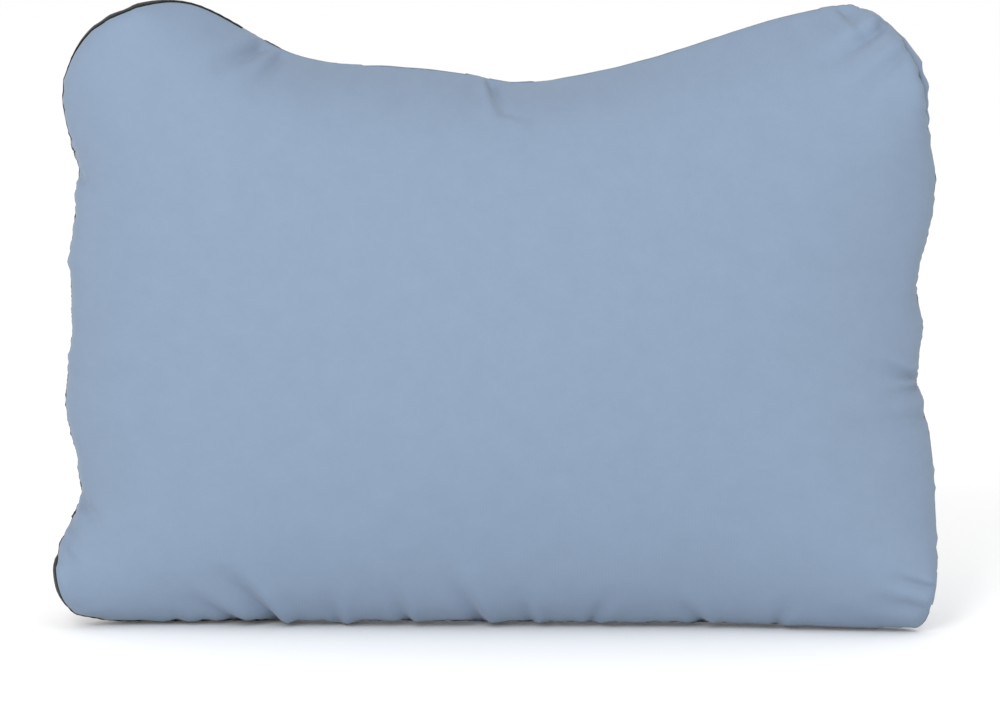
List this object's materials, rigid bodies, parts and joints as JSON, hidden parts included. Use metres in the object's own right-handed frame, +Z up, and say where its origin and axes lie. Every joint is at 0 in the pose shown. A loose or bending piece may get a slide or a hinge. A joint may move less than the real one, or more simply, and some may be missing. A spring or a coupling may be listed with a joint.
{
  "type": "camp pillow",
  "caption": "Foam-filled camp pillow standing on its long edge, with two sewn fabric panels and a dark woven stow pocket across one end of its back.",
  "frame": {"origin": "on the floor under the middle of the pillow's bounding box, the pillow standing on its long edge", "axes": "+X along the pillow's length to the right as seen from the front, +Y out of its back, +Z up"},
  "size_m": [0.46, 0.125, 0.326],
  "materials": {
    "brushed_fabric": "brushed matte polyester, light grey-blue",
    "shredded_foam": "open-cell foam crumbs",
    "binding_tape": "plain woven tape",
    "pocket_fabric": "dark charcoal plain weave",
    "elastic": "covered woven elastic",
    "sewing_thread": "dense polyester thread",
    "label_satin": "blank white satin"
  },
  "bodies": {
    "root": {"front_panel": "brushed_fabric", "rear_panel": "brushed_fabric", "foam_fill": "shredded_foam", "seam_tape": "binding_tape", "stow_pocket": "pocket_fabric", "pocket_hem": "pocket_fabric", "hem_elastic": "elastic", "bar_tack_lower": "sewing_thread", "bar_tack_upper": "sewing_thread", "care_label": "label_satin"}
  },
  "joints": []
}
